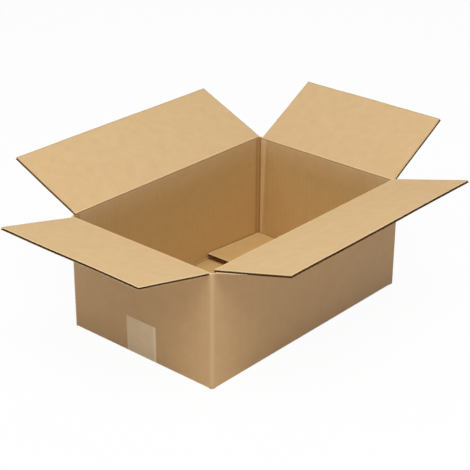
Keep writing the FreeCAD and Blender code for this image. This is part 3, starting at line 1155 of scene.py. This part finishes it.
@dataclass(frozen=True)
class PackingFilm:
    """Clear polypropylene tape, coated with hot-melt glue and pressed onto the board.

    The eye gets the board's own clouds through a slightly milky, satin film, a painted highlight along the
    border where the film's edge catches the light, and the painted shade of the seam between the bottom
    flaps under it. The film's colour is that of film and board together.
    """

    name: str = "polypropylene_tape_film"
    colour: str = "EFD5A7"
    cloud: str = "EACE9F"
    # colours of the painted highlight along the film's edges and of the painted shade in the seam
    border: str = "F4DFB6"
    seam: str = "8A6B45"
    cloud_size: float = 9.0 * MM
    roughness: float = 0.3

    def build(self) -> bpy.types.Material:
        """Makes the material: the board's clouds, the painted highlight of the border and the painted shade
        of the seam, under a satin film.
        """
        material, tree = new_material(self.name)
        place = add_node(tree, "ShaderNodeTexCoord")
        patches = add_node(
            tree, "ShaderNodeTexNoise",
            {"Vector": place.outputs["Object"], "Scale": 1.0 / self.cloud_size, "Detail": 3.0},
        )
        cloudy = add_node(tree, "ShaderNodeMapRange", {"Value": patches.outputs["Fac"], 1: 0.3, 2: 0.7})
        edge = add_node(tree, "ShaderNodeAttribute", attribute_name="painted_highlight")
        painted_shade = add_node(tree, "ShaderNodeAttribute", attribute_name="painted_shade")
        colour = linear(self.colour)
        for share, coat in (
            (cloudy.outputs["Result"], self.cloud),
            (edge.outputs["Fac"], self.border),
            (painted_shade.outputs["Fac"], self.seam),
        ):
            inputs = {"Factor": share, 6: colour, 7: linear(coat)}
            colour = add_node(tree, "ShaderNodeMix", inputs, data_type="RGBA").outputs[2]
        shader = add_node(
            tree, "ShaderNodeBsdfPrincipled",
            {"Base Color": colour, "Roughness": self.roughness, "IOR": 1.49},
        )
        add_node(tree, "ShaderNodeOutputMaterial", {"Surface": shader.outputs["BSDF"]})
        return material


@dataclass(frozen=True)
class StudioFloor:
    """White matt sweep, which stays white to the camera and keeps the carton's soft shadow."""

    name: str = "white_studio_sweep"
    colour: str = "F2F2F2"
    glow: float = 0.96

    def build(self) -> bpy.types.Material:
        """Makes the material: matt white for light, and part white glow for what looks at it."""
        material, tree = new_material(self.name)
        share = add_node(
            tree, "ShaderNodeMath", {0: seen_directly(tree), 1: self.glow}, operation="MULTIPLY",
        )
        matt = add_node(tree, "ShaderNodeBsdfDiffuse", {"Color": linear(self.colour)})
        glow = add_node(tree, "ShaderNodeEmission", {"Color": (1.0, 1.0, 1.0, 1.0), "Strength": 1.0})
        mixed = add_node(
            tree, "ShaderNodeMixShader",
            {"Fac": share.outputs[0], 1: matt.outputs["BSDF"], 2: glow.outputs["Emission"]},
        )
        add_node(tree, "ShaderNodeOutputMaterial", {"Surface": mixed.outputs["Shader"]})
        return material


# The studio


@dataclass(frozen=True)
class Softbox:
    """A square soft lamp that looks at the carton.

    Args:
        name: the lamp's name.
        azimuth: its direction in degrees, counted as the camera's is.
        elevation: its angle above the horizon in degrees.
        distance: from the carton to the lamp, in metres.
        size: side of the square in metres.
        power: in watts.
    """

    name: str
    azimuth: float
    elevation: float
    distance: float
    size: float
    power: float


def toward(azimuth: float, elevation: float) -> Vector:
    """The unit vector from the carton to what stands at an azimuth and an elevation, in degrees."""
    turn, rise = math.radians(azimuth), math.radians(elevation)
    return Vector((math.sin(turn) * math.cos(rise), -math.cos(turn) * math.cos(rise), math.sin(rise)))


LAMPS = (
    Softbox("key_softbox_high", -49.0, 70.0, 2.0, 1.2, 15.5),
    Softbox("key_softbox_low", -49.0, 55.0, 2.0, 1.2, 16.7),
    Softbox("left_softbox", -120.0, 45.0, 2.0, 1.2, 6.9),
    Softbox("back_softbox", 124.0, 54.0, 2.0, 1.4, 8.0),
    Softbox("front_softbox", 5.0, 52.0, 2.0, 1.2, 3.0),
    Softbox("front_fill", -10.0, 18.0, 2.0, 1.2, 1.8),
)


@dataclass
class Studio:
    """Camera, floor, lamps and world."""

    azimuth: float = -48.94
    elevation: float = 25.52
    roll: float = 0.34
    distance: float = 1.72523
    target: tuple[float, float, float] = (-0.00742, 0.0, 0.10073)
    focal_pixels: float = 1380.66
    sky: float = 0.05

    def camera(self) -> bpy.types.Object:
        """The camera, placed by its angles about the point that it looks at."""
        back = toward(self.azimuth, self.elevation)
        right = (-back).cross(Vector((0.0, 0.0, 1.0))).normalized()
        above = right.cross(-back)
        turn = math.radians(self.roll)
        side = right * math.cos(turn) + above * math.sin(turn)
        top = above * math.cos(turn) - right * math.sin(turn)
        data = bpy.data.cameras.new("camera")
        data.sensor_width = 36.0
        data.lens = self.focal_pixels / IMAGE_PIXELS * data.sensor_width
        camera = add_object("camera", data)
        camera.matrix_world = Matrix.Translation(Vector(self.target) + back * self.distance) @ Matrix(
            (side, top, back)
        ).transposed().to_4x4()
        bpy.context.scene.camera = camera
        return camera

    def floor(self) -> bpy.types.Object:
        """The wide white floor that the carton stands on."""
        reach = 6.0
        mesh = bpy.data.meshes.new("studio_floor")
        corners = [(-reach, -reach, 0.0), (reach, -reach, 0.0), (reach, reach, 0.0), (-reach, reach, 0.0)]
        mesh.from_pydata(corners, [], [(0, 1, 2, 3)])
        mesh.materials.append(StudioFloor().build())
        floor = add_object("studio_floor", mesh)
        return floor

    def world(self) -> None:
        """A soft even light from all round, which the camera sees as white."""
        world = bpy.data.worlds.new("studio")
        world.use_nodes = True
        tree = world.node_tree
        tree.nodes.clear()
        strength = add_node(
            tree, "ShaderNodeMapRange", {"Value": seen_directly(tree), 3: self.sky, 4: 1.0},
        )
        light = add_node(
            tree, "ShaderNodeBackground",
            {"Color": (1.0, 1.0, 1.0, 1.0), "Strength": strength.outputs["Result"]},
        )
        add_node(tree, "ShaderNodeOutputWorld", {"Surface": light.outputs["Background"]})
        bpy.context.scene.world = world

    def lamp(self, softbox: Softbox) -> bpy.types.Object:
        """One soft lamp, turned to the carton."""
        data = bpy.data.lights.new(softbox.name, "AREA")
        data.shape = "SQUARE"
        data.size = softbox.size
        data.energy = softbox.power
        lamp = add_object(softbox.name, data)
        direction = toward(softbox.azimuth, softbox.elevation)
        lamp.location = Vector(self.target) + softbox.distance * direction
        lamp.rotation_euler = (-direction).to_track_quat("-Z", "Y").to_euler()
        return lamp

    def build(self) -> None:
        """Makes the whole studio."""
        self.camera()
        self.floor()
        self.world()
        for softbox in LAMPS:
            self.lamp(softbox)
        bpy.context.scene.view_settings.view_transform = "Standard"


@dataclass
class Dresser:
    """Builds the carton's pieces, gives each its body, and hides the fixed model's part that it stands for.
    """

    carton: Carton
    papers: list[bpy.types.Material]

    def finish(self, piece: bpy.types.Object, node: str) -> None:
        """Hides the fixed model's part that a piece stands for, and logs the piece."""
        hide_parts(node)
        LOG.info("%s: %d faces", piece.name, len(piece.data.polygons))

    def body(self) -> None:
        """The fixed board and the tape."""
        piece = make_piece("carton_board", Body(self.carton).sheets(), self.papers)
        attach(piece, "carton")
        self.finish(piece, "box_body")
        tape = make_piece("tape_strip", [Tape(self.carton).sheet()], [PackingFilm().build()])
        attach(tape, "carton")
        self.finish(tape, "bottom_tape")

    def flaps(self) -> None:
        """The four top flaps and the creases that they turn on."""
        for number, side in enumerate(self.carton.sides.values()):
            node = side.name + "_flap"
            flap = Flap(self.carton, side, seed=0.7 + 1.9 * number)
            board = make_piece(side.name + "_flap_board", flap.sheets(), self.papers)
            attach(board, node)
            self.finish(board, node)
            crease = Crease(self.carton, side)
            strip = make_piece(side.name + "_crease_board", crease.sheets(), self.papers)
            start, end = crease.ends()
            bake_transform(strip)
            self.finish(strip, node)


def main() -> None:
    """Builds the carton and its studio."""
    logging.basicConfig(level=logging.INFO, format="%(name)s %(message)s")
    carton = Carton.from_frame(frame["record"])
    pitch = carton.board.pitch
    outer = KraftPaper(
        "outer_kraft_liner_calendered", "D3AC78", "CEA672", "C59D68", "DCC4A2", 0.46, 0.38, painted_shade_strength=0.0, painted_highlight_strength=0.2
    )
    inner = KraftPaper(
        "inner_kraft_liner_matt", "D5B587", "D0AF80", "C9A676", "F0D6AC", 0.78, 0.2,
        stripe_inside=0.022, painted_depth_shade="F5F0D9",
    )
    # darker than the real medium, as painted shade inside the flutes
    medium = KraftPaper("fluting_medium_darkened_as_painted_shade", "5A3A1C", "51341A", "482C14", "5A3A1C", 0.9, 0.0)
    cut = KraftPaper("knife_cut_board_edge", "E6CCA4", "DEC296", "C8A97A", "E6CCA4", 0.9, 0.1)
    # the flutes' cut ends, darkened with painted shade of the open flutes
    flute_end = KraftPaper("flute_cut_end_darkened_as_painted_shade", "8A6438", "7F5B32", "6E4D28", "8A6438", 0.9, 0.0)
    papers = [paper.build(pitch) for paper in (outer, inner, medium, cut, flute_end)]
    Studio().build()
    dresser = Dresser(carton, papers)
    dresser.body()
    dresser.flaps()


if __name__ == "__main__":
    main()
